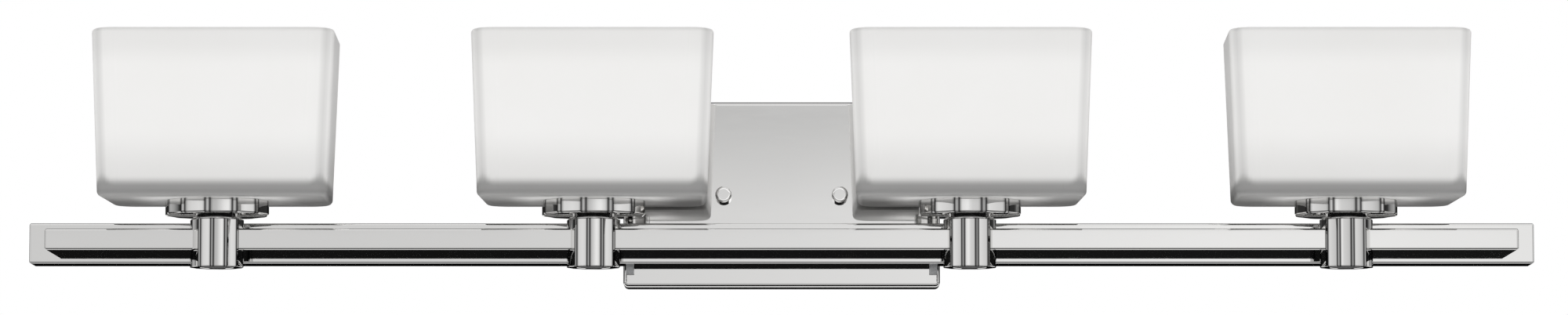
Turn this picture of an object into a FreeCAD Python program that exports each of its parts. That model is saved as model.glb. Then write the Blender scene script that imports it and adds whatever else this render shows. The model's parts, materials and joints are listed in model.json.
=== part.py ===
import FreeCAD, Part
import math
import os

# Four-lamp vanity light bar. Millimetres, +Z up, the wall is the plane Y = 0,
# the front faces -Y, and the origin is the middle of the cross strap on the wall.

# Lamps
LAMP_X = (-334.5, -111.4, 111.4, 334.5)
LAMP_Y = -78.0

# How far each lamp's fluted pieces are turned when screwed up, in degrees
LAMP_TURN = (9.5, 5.6, -0.8, -6.5)

# Backplate and its fixing
PLATE_WIDTH = 190.5
PLATE_TOP = 56.8
PLATE_BOTTOM = -55.0
PLATE_DEPTH = 22.0
PLATE_SHEET = 1.5
PLATE_CORNER = 3.0
PLATE_EDGE = 2.2
STUD_X = 34.925
STUD_RADIUS = 2.08
CAP_RADIUS = 4.9
CAP_LENGTH = 11.6
SHAFT_CLEARANCE = 0.05

# Cross strap that screws to the junction box
STRAP_LENGTH = 104.0
STRAP_HEIGHT = 18.0
STRAP_THICK = 2.0
SLOT_SPACING = 88.9
SLOT_LENGTH = 9.0
SLOT_RADIUS = 2.25

# Rear bar, a channel that is open behind and closed by a strip
BAR_HALF_LENGTH = 449.5
BAR_BOTTOM = -42.5
BAR_TOP = -18.5
BAR_FRONT = -47.4
BAR_WALL = 1.6
BAR_EDGE = 1.2
STRIP_THICK = 1.2
COVER_SCREW_X = (-424.0, -222.0, 222.0, 424.0)
COVER_SCREW_Z = -24.4
COVER_BOSS_RADIUS = 3.6
BAR_MIDDLE = 0.5 * (BAR_BOTTOM + BAR_TOP)

# Front rail, a shelf tube that the stems pass through
RAIL_HALF_LENGTH = 435.8
RAIL_BOTTOM = -37.1
RAIL_TOP = -24.4
RAIL_FRONT = -85.9
RAIL_WALL = 1.5
RAIL_EDGE = 1.3

# Fluted stems, necks and collars
FLUTES = 12
STEM_RADIUS = 16.0
STEM_HOLLOW = 0.25
STEM_BOTTOM = -47.2
STEM_TOP = -18.9
STEM_BORE = 10.0
STEM_ROOF = 5.0
NECK_RADIUS = 14.6
NECK_TOP = -16.4
COLLAR_RADIUS = 31.0
COLLAR_HOLLOW = 0.45
COLLAR_TOP = -7.65

# Threaded tube up each stem
NIPPLE_RADIUS = 5.0
NIPPLE_BORE = 3.8
NIPPLE_BOTTOM = -27.6
NIPPLE_TOP = -3.6
CENTRE_NIPPLE_RADIUS = 8.0
CENTRE_NIPPLE_BORE = 6.6
NUT_THICK = 3.4

# Glass shade, a square cup that flares upward and narrows towards the wall
GLASS_BOTTOM = -7.6
GLASS_TOP = 91.4
GLASS_TOP_WIDTH = 143.8
GLASS_TOP_DEPTH = 94.0
GLASS_BOTTOM_WIDTH = 136.0
GLASS_BOTTOM_DEPTH = 93.0
GLASS_BACK_DRAFT = 1.5
GLASS_CORNER = 14.0
GLASS_BASE_EDGE = 3.0
GLASS_WALL = 5.0
GLASS_FLOOR_TOP = -1.2
GLASS_RECESS_RADIUS = 24.4
GASKET_RADIUS = 24.0
GLASS_HOLE = 11.2
GASKET_TOP = -5.5

# Lamp holder inside the glass
SLEEVE_RADIUS = 10.5
SLEEVE_BORE = 9.3
SLEEVE_TOP = 10.0
SOCKET_RADIUS = 9.2
SOCKET_TOP = 15.0
SOCKET_BOTTOM = -3.2
RING_RADIUS = 17.0
RING_THICK = 3.6
RING_GRIPS = 16

# Push-in capsule bulb
BULB_RADIUS = 8.0
BULB_TOP = 62.0
PIN_RADIUS = 1.0
PIN_SPACING = 9.0
PINCH_WIDTH = 14.0
PINCH_DEPTH = 5.4

# Inside wires, one black and one white to each lamp holder
WIRE_RADIUS = 0.95
WIRE_SPREAD = 1.7
BLACK_HEIGHT = -30.4
WHITE_HEIGHT = -33.0
WIRE_PORT_RADIUS = 4.0
WIRE_PORT_HEIGHT = -31.2


def vec(x, y, z):
    return FreeCAD.Vector(x, y, z)


def block(x0, x1, y0, y1, z0, z1):
    return Part.makeBox(x1 - x0, y1 - y0, z1 - z0, vec(x0, y0, z0))


def post(radius, x, y, z0, z1):
    return Part.makeCylinder(radius, z1 - z0, vec(x, y, z0), vec(0, 0, 1))


def peg(radius, x, z, y0, y1):
    return Part.makeCylinder(radius, y1 - y0, vec(x, y0, z), vec(0, 1, 0))


def hexagon_post(flats, x, y, z0, z1):
    radius = flats / math.sqrt(3.0)
    points = []
    for k in range(7):
        a = math.radians(60.0 * k)
        points.append(vec(x + radius * math.cos(a), y + radius * math.sin(a), z0))
    face = Part.Face(Part.makePolygon(points))
    return face.extrude(vec(0, 0, z1 - z0))


def hexagon_peg(flats, x, z, y0, y1):
    radius = flats / math.sqrt(3.0)
    points = []
    for k in range(7):
        a = math.radians(60.0 * k)
        points.append(vec(x + radius * math.cos(a), y0, z + radius * math.sin(a)))
    face = Part.Face(Part.makePolygon(points))
    return face.extrude(vec(0, y1 - y0, 0))


def edges_where(shape, test):
    found = []
    for edge in shape.Edges:
        box = edge.BoundBox
        if test(box):
            found.append(edge)
    return found


def along_y(box):
    return box.YLength > 1.0 and box.XLength < 0.01 and box.ZLength < 0.01


def fluted_wire(radius, hollow, x, y, z):
    # Twelve shallow concave arcs between ridges; one flute faces the front.
    step = 2.0 * math.pi / FLUTES
    edges = []
    for k in range(FLUTES):
        middle = -0.5 * math.pi + k * step
        start = middle - 0.5 * step
        stop = middle + 0.5 * step
        inner = radius * math.cos(0.5 * step) - hollow
        a = vec(x + radius * math.cos(start), y + radius * math.sin(start), z)
        m = vec(x + inner * math.cos(middle), y + inner * math.sin(middle), z)
        b = vec(x + radius * math.cos(stop), y + radius * math.sin(stop), z)
        edges.append(Part.Arc(a, m, b).toShape())
    return Part.Wire(edges)


def fluted_column(radius, hollow, x, y, z0, z1):
    face = Part.Face(fluted_wire(radius, hollow, x, y, z0))
    return face.extrude(vec(0, 0, z1 - z0))


def softened(shape, radius, test):
    return shape.makeFillet(radius, edges_where(shape, test))


def trapezoid_wire(x, y, front, back, depth, corner, z):
    # Rounded trapezoid in plan, wide side towards the front.
    points = [
        vec(x - front / 2, y - depth / 2, z),
        vec(x + front / 2, y - depth / 2, z),
        vec(x + back / 2, y + depth / 2, z),
        vec(x - back / 2, y + depth / 2, z),
    ]
    edges = []
    starts = []
    ends = []
    middles = []
    for k in range(4):
        here = points[k]
        before = (points[k - 1] - here).normalize()
        after = (points[(k + 1) % 4] - here).normalize()
        half = 0.5 * before.getAngle(after)
        reach = corner / math.tan(half)
        centre = here + (before + after).normalize() * (corner / math.sin(half))
        towards = (here - centre).normalize()
        starts.append(here + before * reach)
        ends.append(here + after * reach)
        middles.append(centre + towards * corner)
    for k in range(4):
        following = (k + 1) % 4
        edges.append(Part.Arc(starts[k], middles[k], ends[k]).toShape())
        edges.append(Part.makeLine(ends[k], starts[following]))
    return Part.Wire(edges)


def glass_section(x, inset, z, corner):
    part = (z - GLASS_BOTTOM) / (GLASS_TOP - GLASS_BOTTOM)
    width = GLASS_BOTTOM_WIDTH + part * (GLASS_TOP_WIDTH - GLASS_BOTTOM_WIDTH)
    depth = GLASS_BOTTOM_DEPTH + part * (GLASS_TOP_DEPTH - GLASS_BOTTOM_DEPTH)
    draft = 2.0 * depth * math.tan(math.radians(GLASS_BACK_DRAFT))
    front = width - 2.0 * inset
    back = width - draft - 2.0 * inset
    return trapezoid_wire(x, LAMP_Y, front, back, depth - 2.0 * inset, corner, z)


def glass_body(x, inset, z0, z1, corner, base_edge):
    low = glass_section(x, inset, z0, corner)
    high = glass_section(x, inset, z1, corner)
    body = Part.makeLoft([low, high], True, True)
    rim = lambda box: box.ZLength < 0.01 and abs(box.ZMin - z0) < 0.01
    return body.makeFillet(base_edge, edges_where(body, rim))


def placed(shape, number, turned):
    # A piece built on the plane X = 0, moved to its lamp and clocked if it is fluted.
    copy = shape.copy()
    if turned:
        copy.rotate(vec(0, LAMP_Y, 0), vec(0, 0, 1), LAMP_TURN[number])
    copy.translate(vec(LAMP_X[number], 0, 0))
    return copy


def make_shade(x):
    outer = glass_body(x, 0.0, GLASS_BOTTOM, GLASS_TOP, GLASS_CORNER, GLASS_BASE_EDGE)
    inner_corner = GLASS_CORNER - GLASS_WALL
    inner = glass_body(x, GLASS_WALL, GLASS_FLOOR_TOP, GLASS_TOP + 6.0, inner_corner, 4.2)
    cup = outer.cut(inner)
    outer_rim = glass_rim(cup, x, True)
    cup = cup.makeFillet(2.6, outer_rim)
    inner_rim = glass_rim(cup, x, False)
    cup = cup.makeFillet(1.6, inner_rim)
    cup = cup.cut(post(GLASS_RECESS_RADIUS, x, LAMP_Y, GLASS_BOTTOM - 1.0, GASKET_TOP + 0.05))
    cup = cup.cut(post(GLASS_HOLE, x, LAMP_Y, GLASS_BOTTOM - 1.0, GLASS_FLOOR_TOP + 1.0))
    return cup


def glass_rim(cup, x, outside):
    # Edges of the top rim: the outer loop or the inner loop.
    found = []
    for edge in cup.Edges:
        box = edge.BoundBox
        if box.ZLength > 0.01 or abs(box.ZMin - GLASS_TOP) > 0.01:
            continue
        middle = edge.valueAt(0.5 * (edge.FirstParameter + edge.LastParameter))
        if is_outside(middle, x) == outside:
            found.append(edge)
    return found


def is_outside(point, x):
    # How far the point is from the middle of the wall, measured square to the wall.
    behind = (point.y - LAMP_Y + GLASS_TOP_DEPTH / 2) * math.tan(math.radians(GLASS_BACK_DRAFT))
    across = abs(point.x - x) - (GLASS_TOP_WIDTH / 2 - behind - GLASS_CORNER)
    along = abs(point.y - LAMP_Y) - (GLASS_TOP_DEPTH / 2 - GLASS_CORNER)
    reach = max(across, along)
    if across > 0 and along > 0:
        reach = math.hypot(across, along)
    return reach > GLASS_CORNER - 0.76 * GLASS_WALL


def make_collar(x):
    disc = fluted_column(COLLAR_RADIUS, COLLAR_HOLLOW, x, LAMP_Y, NECK_TOP, COLLAR_TOP)
    upright = lambda box: box.ZLength > 5.0
    disc = softened(disc, 0.7, upright)
    rims = lambda box: box.ZLength < 0.01 and box.DiagonalLength > 0.05
    disc = softened(disc, 1.1, rims)
    return disc.cut(post(NIPPLE_RADIUS + 0.15, x, LAMP_Y, NECK_TOP - 1, COLLAR_TOP + 1))


def make_neck(x):
    low = post(NECK_RADIUS, x, LAMP_Y, STEM_TOP, STEM_TOP + 1.3)
    high = post(NECK_RADIUS - 1.4, x, LAMP_Y, STEM_TOP + 1.3, NECK_TOP)
    neck = low.fuse(high).removeSplitter()
    low_rim = lambda box: abs(box.ZMin - STEM_TOP - 1.3) < 0.01 and box.XLength > 27.5
    neck = softened(neck, 0.5, lambda box: box.ZLength < 0.01 and low_rim(box))
    return neck.cut(post(NIPPLE_RADIUS + 0.15, x, LAMP_Y, STEM_TOP - 1, NECK_TOP + 1))


def make_stem_outline(x):
    column = fluted_column(STEM_RADIUS, STEM_HOLLOW, x, LAMP_Y, STEM_BOTTOM, STEM_TOP)
    return softened(column, 0.35, lambda box: box.ZLength > 5.0)


def make_stem(x):
    column = softened(make_stem_outline(x), 0.5, lambda box: box.ZLength < 0.01)
    bore = post(STEM_BORE, x, LAMP_Y, STEM_BOTTOM - 1, STEM_TOP - STEM_ROOF)
    neck_hole = post(NIPPLE_RADIUS + 0.15, x, LAMP_Y, STEM_BOTTOM, STEM_TOP + 1)
    return column.cut(bore).cut(neck_hole)


def make_gasket(x):
    ring = post(GASKET_RADIUS, x, LAMP_Y, COLLAR_TOP, GASKET_TOP)
    return ring.cut(post(SLEEVE_RADIUS + 0.3, x, LAMP_Y, COLLAR_TOP - 1, GASKET_TOP + 1))


def make_sleeve(x):
    cup = post(SLEEVE_RADIUS, x, LAMP_Y, COLLAR_TOP, SLEEVE_TOP)
    cup = cup.cut(post(SLEEVE_BORE, x, LAMP_Y, COLLAR_TOP + 1.2, SLEEVE_TOP + 1))
    return cup.cut(post(NIPPLE_RADIUS + 0.15, x, LAMP_Y, COLLAR_TOP - 1, COLLAR_TOP + 2))


def make_socket(x):
    body = post(SOCKET_RADIUS, x, LAMP_Y, SOCKET_BOTTOM, SOCKET_TOP)
    top_rim = lambda box: box.ZLength < 0.01 and abs(box.ZMin - SOCKET_TOP) < 0.01
    body = softened(body, 0.8, top_rim)
    w = PINCH_WIDTH / 2 + 0.35
    d = PINCH_DEPTH / 2 + 0.35
    body = body.cut(block(x - w, x + w, LAMP_Y - d, LAMP_Y + d, SOCKET_TOP - 5.0, SOCKET_TOP + 1))
    for side in (-1, 1):
        hole_x = x + side * PIN_SPACING / 2
        hole = post(PIN_RADIUS + SHAFT_CLEARANCE, hole_x, LAMP_Y, SOCKET_TOP - 14.0, SOCKET_TOP)
        body = body.cut(hole)
    return body


def make_ring_nut(x):
    low = GLASS_FLOOR_TOP + 0.05
    ring = post(RING_RADIUS, x, LAMP_Y, low, low + RING_THICK)
    for k in range(RING_GRIPS):
        a = 2.0 * math.pi * k / RING_GRIPS
        gx = x + (RING_RADIUS + 1.0) * math.cos(a)
        gy = LAMP_Y + (RING_RADIUS + 1.0) * math.sin(a)
        ring = ring.cut(post(1.9, gx, gy, low + 1.0, low + RING_THICK + 1))
    return ring.cut(post(SLEEVE_RADIUS + SHAFT_CLEARANCE, x, LAMP_Y, low - 1, low + RING_THICK + 1))


def make_bulb(x):
    # Capsule envelope: a tube with a round top, drawn in to a waist above its flat base.
    waist = SOCKET_TOP + 4.0
    shoulder = waist + 5.0
    crown = BULB_TOP - BULB_RADIUS
    cone = Part.makeCone(5.6, BULB_RADIUS, shoulder - waist, vec(x, LAMP_Y, waist), vec(0, 0, 1))
    tube = post(BULB_RADIUS, x, LAMP_Y, shoulder, crown)
    dome = Part.makeSphere(BULB_RADIUS, vec(x, LAMP_Y, crown), vec(0, 0, 1), 0, 90, 360)
    return cone.fuse([tube, dome]).removeSplitter()


def make_bulb_base(x):
    w = PINCH_WIDTH / 2
    d = PINCH_DEPTH / 2
    low = SOCKET_TOP - 4.8
    base = block(x - w, x + w, LAMP_Y - d, LAMP_Y + d, low, SOCKET_TOP + 4.0)
    base = softened(base, 1.0, lambda box: box.ZLength > 5.0)
    for side in (-1, 1):
        base = base.fuse(post(PIN_RADIUS, x + side * PIN_SPACING / 2, LAMP_Y, low - 8.0, low + 0.5))
    return base.removeSplitter()


def make_nipple(x):
    tube = post(NIPPLE_RADIUS, x, LAMP_Y, NIPPLE_BOTTOM, NIPPLE_TOP)
    return tube.cut(post(NIPPLE_BORE, x, LAMP_Y, NIPPLE_BOTTOM - 1, NIPPLE_TOP + 1))


def make_nipple_nut(x):
    roof = STEM_TOP - STEM_ROOF
    nut = hexagon_post(15.0, x, LAMP_Y, roof - NUT_THICK, roof)
    return nut.cut(post(NIPPLE_RADIUS, x, LAMP_Y, roof - 5, roof + 1))


def make_stem_plug(x):
    return post(STEM_BORE - 0.03, x, LAMP_Y, STEM_BOTTOM + 0.6, STEM_BOTTOM + 2.6)


def make_channel():
    outer = block(-BAR_HALF_LENGTH, BAR_HALF_LENGTH, BAR_FRONT, -PLATE_DEPTH, BAR_BOTTOM, BAR_TOP)
    front_edges = lambda box: not (box.YMin > -PLATE_DEPTH - 0.1 and box.YLength < 0.01)
    outer = softened(outer, BAR_EDGE, front_edges)
    x = BAR_HALF_LENGTH - BAR_WALL
    inside = block(-x, x, BAR_FRONT + BAR_WALL, -PLATE_DEPTH + 1, BAR_BOTTOM + BAR_WALL, BAR_TOP - BAR_WALL)
    shell = outer.cut(inside)
    for x in COVER_SCREW_X:
        shell = shell.fuse(peg(COVER_BOSS_RADIUS, x, COVER_SCREW_Z, BAR_FRONT + 1.0, -PLATE_DEPTH - STRIP_THICK))
        shell = shell.cut(peg(1.5, x, COVER_SCREW_Z, -PLATE_DEPTH - 12.0, -PLATE_DEPTH))
    for x in LAMP_X:
        shell = shell.cut(peg(WIRE_PORT_RADIUS, x, WIRE_PORT_HEIGHT, BAR_FRONT - 1, BAR_FRONT + 4))
    return shell


def make_cover_strip():
    x = BAR_HALF_LENGTH - BAR_WALL - 0.15
    low = BAR_BOTTOM + BAR_WALL + 0.15
    high = BAR_TOP - BAR_WALL - 0.15
    strip = block(-x, x, -PLATE_DEPTH - STRIP_THICK, -PLATE_DEPTH, low, high)
    for screw_x in COVER_SCREW_X:
        strip = strip.cut(peg(1.7, screw_x, COVER_SCREW_Z, -PLATE_DEPTH - 3, -PLATE_DEPTH + 1))
    return strip.cut(peg(CENTRE_NIPPLE_RADIUS + 0.15, 0, BAR_MIDDLE, -PLATE_DEPTH - 3, -PLATE_DEPTH + 1))


def make_cover_screws():
    screws = []
    for x in COVER_SCREW_X:
        z = COVER_SCREW_Z
        y = -PLATE_DEPTH + 1.0
        shank = peg(1.5, x, z, -PLATE_DEPTH - 10.0, -PLATE_DEPTH + 0.2)
        head = peg(2.9, x, z, -PLATE_DEPTH, -PLATE_DEPTH + 1.8)
        screw = shank.fuse(head).removeSplitter()
        screw = screw.cut(block(x - 1.8, x + 1.8, y, y + 2, z - 0.35, z + 0.35))
        screw = screw.cut(block(x - 0.35, x + 0.35, y, y + 2, z - 1.8, z + 1.8))
        screws.append(screw)
    return Part.makeCompound(screws)


def make_rail():
    outer = block(-RAIL_HALF_LENGTH, RAIL_HALF_LENGTH, RAIL_FRONT, BAR_FRONT, RAIL_BOTTOM, RAIL_TOP)
    front_edges = lambda box: not (box.YMin > BAR_FRONT - 0.1 and box.YLength < 0.01)
    outer = softened(outer, RAIL_EDGE, front_edges)
    x = RAIL_HALF_LENGTH - RAIL_WALL
    inside = block(-x, x, RAIL_FRONT + RAIL_WALL, BAR_FRONT + 1, RAIL_BOTTOM + RAIL_WALL, RAIL_TOP - RAIL_WALL)
    rail = outer.cut(inside)
    outline = make_stem_outline(0.0)
    for number in range(len(LAMP_X)):
        rail = rail.cut(placed(outline, number, True))
    return rail


def make_tab(side):
    x0 = 88.8 if side > 0 else -93.5
    return softened(block(x0, x0 + 4.7, -29.0, -PLATE_DEPTH, -47.4, BAR_BOTTOM), 0.5, along_y)


def make_backplate():
    w = PLATE_WIDTH / 2
    low = PLATE_BOTTOM
    high = PLATE_TOP
    pan = softened(block(-w, w, -PLATE_DEPTH, 0, low, high), PLATE_CORNER, along_y)
    front = lambda box: box.YLength < 0.01 and abs(box.YMin + PLATE_DEPTH) < 0.01
    pan = softened(pan, PLATE_EDGE, front)
    t = PLATE_SHEET
    hollow = block(t - w, w - t, t - PLATE_DEPTH, 1, low + t, high - t)
    pan = pan.cut(softened(hollow, PLATE_CORNER - t, along_y))
    for side in (-1, 1):
        pan = pan.cut(peg(STUD_RADIUS + 0.3, side * STUD_X, 0, -PLATE_DEPTH - 1, 1))
    return pan.cut(peg(CENTRE_NIPPLE_RADIUS + 0.15, 0, BAR_MIDDLE, -PLATE_DEPTH - 1, 1))


def make_centre_nipple():
    front = -PLATE_DEPTH - 6.5
    back = -PLATE_DEPTH + 8.0
    tube = peg(CENTRE_NIPPLE_RADIUS, 0, BAR_MIDDLE, front, back)
    return tube.cut(peg(CENTRE_NIPPLE_BORE, 0, BAR_MIDDLE, front - 1, back + 1))


def make_centre_nuts():
    nuts = []
    for y0 in (-PLATE_DEPTH + PLATE_SHEET, -PLATE_DEPTH - STRIP_THICK - NUT_THICK):
        nut = hexagon_peg(20.0, 0, BAR_MIDDLE, y0, y0 + NUT_THICK)
        nuts.append(nut.cut(peg(CENTRE_NIPPLE_RADIUS, 0, BAR_MIDDLE, y0 - 1, y0 + 5)))
    return Part.makeCompound(nuts)


def make_strap():
    w = STRAP_LENGTH / 2
    h = STRAP_HEIGHT / 2
    strap = softened(block(-w, w, -STRAP_THICK, 0, -h, h), 4.0, along_y)
    for side in (-1, 1):
        centre = side * SLOT_SPACING / 2
        reach = SLOT_LENGTH / 2 - SLOT_RADIUS
        slot = block(centre - reach, centre + reach, -3, 1, -SLOT_RADIUS, SLOT_RADIUS)
        slot = slot.fuse(peg(SLOT_RADIUS, centre - reach, 0, -3, 1))
        slot = slot.fuse(peg(SLOT_RADIUS, centre + reach, 0, -3, 1))
        strap = strap.cut(slot)
        strap = strap.cut(peg(STUD_RADIUS, side * STUD_X, 0, -3, 1))
    strap = strap.cut(peg(NIPPLE_RADIUS + 0.15, 0, 0, -3, 1))
    return strap.cut(peg(2.0, 18.0, 0, -3, 1))


def make_studs():
    studs = []
    for side in (-1, 1):
        studs.append(peg(STUD_RADIUS, side * STUD_X, 0, -PLATE_DEPTH - 8.4, 0.0))
    return Part.makeCompound(studs)


def make_stud_nuts():
    nuts = []
    for side in (-1, 1):
        nut = hexagon_peg(8.7, side * STUD_X, 0, -STRAP_THICK - 3.2, -STRAP_THICK)
        nuts.append(nut.cut(peg(STUD_RADIUS, side * STUD_X, 0, -STRAP_THICK - 5, 1)))
    return Part.makeCompound(nuts)


def make_cap_nut(side):
    x = side * STUD_X
    back = -PLATE_DEPTH - 0.05
    cap = peg(CAP_RADIUS, x, 0, back - CAP_LENGTH, back)
    front_rim = lambda box: box.YLength < 0.01 and box.YMin < back - 1.0
    cap = softened(cap, 1.2, front_rim)
    return cap.cut(peg(STUD_RADIUS + SHAFT_CLEARANCE, x, 0, back - 9.2, back + 1))


def make_ground_screw():
    shank = peg(2.0, 18.0, 0, -STRAP_THICK - 0.5, 0)
    head = hexagon_peg(8.0, 18.0, 0, -STRAP_THICK - 3.0, -STRAP_THICK)
    screw = shank.fuse(head).removeSplitter()
    return screw.cut(block(14.5, 21.5, -STRAP_THICK - 4, -STRAP_THICK - 2.0, -0.5, 0.5))


def bent_path(points, radii):
    # Straight runs joined by tangent arcs of the given radii.
    edges = []
    last = points[0]
    for k in range(1, len(points) - 1):
        here = points[k]
        before = (points[k - 1] - here).normalize()
        after = (points[k + 1] - here).normalize()
        half = 0.5 * before.getAngle(after)
        radius = radii[k - 1]
        reach = radius / math.tan(half)
        start = here + before * reach
        stop = here + after * reach
        centre = here + (before + after).normalize() * (radius / math.sin(half))
        middle = centre + (here - centre).normalize() * radius
        edges.append(Part.makeLine(last, start))
        edges.append(Part.Arc(start, middle, stop).toShape())
        last = stop
    edges.append(Part.makeLine(last, points[-1]))
    return Part.Wire(edges)


def wire_along(points, radii):
    path = bent_path(points, radii)
    ring = Part.Wire(Part.makeCircle(WIRE_RADIUS, points[0], points[1] - points[0]))
    return path.makePipeShell([ring], True, False)


def make_leads(side, height):
    # From the back of the plate through the centre tube, along the bar,
    # forward inside the rail, and up the stem to the underside of the lamp holder.
    wires = []
    for number, x in enumerate(LAMP_X):
        inner = number in (1, 2)
        start_x = (number - 1.5) * 2.8
        run_y = -40.0 if inner else -36.0
        end_x = x + side * WIRE_SPREAD
        points = [
            vec(start_x, -PLATE_DEPTH + 13.0, height),
            vec(start_x, run_y, height),
            vec(end_x, run_y, height),
            vec(end_x, LAMP_Y, height),
            vec(end_x, LAMP_Y, SOCKET_BOTTOM),
        ]
        wires.append(wire_along(points, (3.6, 6.0, 2.8)))
    return Part.makeCompound(wires)


def save(name, shape):
    shape.exportStep(os.path.join("parts", name + ".step"))
    solids = len(shape.Solids)
    print(name, solids, "solids", round(shape.Volume, 1), "mm3", "valid" if shape.isValid() else "BAD")


def make_lamps():
    makers = {
        "shade": make_shade,
        "collar": make_collar,
        "neck": make_neck,
        "stem": make_stem,
        "gasket": make_gasket,
        "sleeve": make_sleeve,
        "socket": make_socket,
        "ring_nut": make_ring_nut,
        "bulb": make_bulb,
        "bulb_base": make_bulb_base,
    }
    port_back = LAMP_Y + STEM_RADIUS + 1
    for word in makers:
        shape = makers[word](0.0)
        for number, x in enumerate(LAMP_X):
            piece = placed(shape, number, word in ("collar", "stem"))
            if word == "stem":
                piece = piece.cut(peg(WIRE_PORT_RADIUS, x, WIRE_PORT_HEIGHT, LAMP_Y, port_back))
            save(word + "_" + str(number + 1), piece)


def make_groups():
    save("stem_nipples", Part.makeCompound([make_nipple(x) for x in LAMP_X]))
    save("stem_nuts", Part.makeCompound([make_nipple_nut(x) for x in LAMP_X]))
    save("stem_plugs", Part.makeCompound([make_stem_plug(x) for x in LAMP_X]))
    save("black_leads", make_leads(-1, BLACK_HEIGHT))
    save("white_leads", make_leads(1, WHITE_HEIGHT))


def make_bar():
    save("rear_bar", make_channel())
    save("bar_cover", make_cover_strip())
    save("cover_screws", make_cover_screws())
    save("front_rail", make_rail())
    save("bar_tab_left", make_tab(-1))
    save("bar_tab_right", make_tab(1))
    save("backplate", make_backplate())
    save("centre_nipple", make_centre_nipple())
    save("centre_nuts", make_centre_nuts())
    save("cross_strap", make_strap())
    save("strap_studs", make_studs())
    save("stud_nuts", make_stud_nuts())
    save("cap_nut_left", make_cap_nut(-1))
    save("cap_nut_right", make_cap_nut(1))
    save("ground_screw", make_ground_screw())


os.makedirs("parts", exist_ok=True)
make_lamps()
make_groups()
make_bar()
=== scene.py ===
import bpy
import bmesh
import json
import math
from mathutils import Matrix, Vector


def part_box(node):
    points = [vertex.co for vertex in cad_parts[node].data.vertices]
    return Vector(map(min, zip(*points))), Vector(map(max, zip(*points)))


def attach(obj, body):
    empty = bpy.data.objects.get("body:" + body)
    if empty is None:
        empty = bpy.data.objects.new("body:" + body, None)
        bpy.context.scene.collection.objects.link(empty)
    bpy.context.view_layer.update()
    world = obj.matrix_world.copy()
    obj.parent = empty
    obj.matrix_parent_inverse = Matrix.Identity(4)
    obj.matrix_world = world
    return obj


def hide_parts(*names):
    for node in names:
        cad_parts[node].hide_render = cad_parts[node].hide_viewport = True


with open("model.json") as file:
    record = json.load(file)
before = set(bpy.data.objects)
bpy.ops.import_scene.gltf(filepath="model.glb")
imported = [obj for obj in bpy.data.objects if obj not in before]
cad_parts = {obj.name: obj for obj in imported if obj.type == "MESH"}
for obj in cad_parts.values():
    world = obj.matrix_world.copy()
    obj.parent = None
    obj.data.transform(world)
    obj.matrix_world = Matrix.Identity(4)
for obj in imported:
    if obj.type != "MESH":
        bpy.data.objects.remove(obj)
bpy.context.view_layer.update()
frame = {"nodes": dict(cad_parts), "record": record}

# ---------------------------------------------------------------- dimensions
MM = 0.001
LAMPS = (1, 2, 3, 4)
TINY = 1e-6

# How far each lamp's stem and collar are turned about their axis, in degrees.
LAMP_TURN = {1: 9.5, 2: 5.6, 3: -0.8, 4: -6.5}

FLUTES = 12
FLUTE_STEPS = 15
ARRIS_STEPS = 6
STEM_FLUTES = {"radius": 15.95 * MM, "hollow": 0.25 * MM, "land": 1.7 * MM, "arris": 0.3 * MM}
COLLAR_FLUTES = {"radius": 30.9 * MM, "hollow": 0.45 * MM, "land": 3.0 * MM, "arris": 0.4 * MM}
# Width of the painted dark reflection along the ridges of the stems and the collars.
STEM_RIDGE_REFLECTION = 0.9 * MM
COLLAR_RIDGE_REFLECTION = 1.2 * MM

NIPPLE_BORE = 5.15 * MM
STEM_ROOF = 5.0 * MM
STEM_BORE = 10.0 * MM
STEM_MOUTH = 0.3 * MM
COLLAR_SEAT = 27.0 * MM
COLLAR_UNDERSIDE = 24.5 * MM

RAIL_EDGE = 1.3 * MM
BAR_EDGE = 1.2 * MM
BAR_SHEET = 1.6 * MM
PLATE_CORNER = 3.0 * MM
PLATE_EDGE = 2.2 * MM
PLATE_SHEET = 1.5 * MM
BEVEL_STEPS = 8

GLASS = {
    "top_width": 143.8 * MM,
    "bottom_width": 136.0 * MM,
    "top_depth": 93.98 * MM,
    "bottom_depth": 93.0 * MM,
    "draft": math.tan(math.radians(1.5)),
    "corner": 14.0 * MM,
    "base_edge": 3.0 * MM,
    "wall": 5.0 * MM,
    "floor": 6.4 * MM,
    "rim_out": 2.6 * MM,
    "rim_in": 1.6 * MM,
    "inner_round": 4.2 * MM,
    "hole": 11.2 * MM,
    "gasket": 18.0 * MM,
    "recess": 24.4 * MM,
    "recess_depth": 2.15 * MM,
    "least_corner": 0.4 * MM,
}
# Rings of the floor from the wall in to the hole: radius, and share of the way back out to the wall.
FLOOR_RINGS = ((34.0 * MM, 0.5), (34.0 * MM, 0.2), (20.0 * MM, 0.0), (GLASS["hole"], 0.0))
GLASS_CORNER_STEPS = 10
GLASS_SIDE_STEPS = 34

# Whiteness of the etched glass, partly its own look and partly painted light and shade: where the open
# cup, a side wall or the solid base lies behind it, painted shade at its bottom edge, and painted light
# underneath.
TONE_PANEL = 0.82
TONE_SIDE = 0.68
TONE_BASE = 0.33
PAINTED_SHADE_EDGE = 0.27
PAINTED_LIGHT_UNDER = 0.66
# Painted shade: how much darker the outside is painted low down, towards the top, and again at the rim.
PAINTED_SHADE_LOW = 0.13
PAINTED_SHADE_HIGH = 0.08
PAINTED_SHADE_RIM = 0.08
# Painted light: a glow of the glass underneath and at its bottom edge.
PAINTED_GLOW_UNDER = 0.07
PAINTED_GLOW_EDGE = 0.03
# The cup as it shows through the glass: its distance in from the outside and up from the floor, the
# round at its corner, and how softly it ends at the sides and at the base.
CAVITY = {
    "side": 6.2 * MM,
    "lift": 1.9 * MM,
    "corner": 5.0 * MM,
    "soft_side": 1.2 * MM,
    "soft_base": 3.5 * MM,
}

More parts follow.
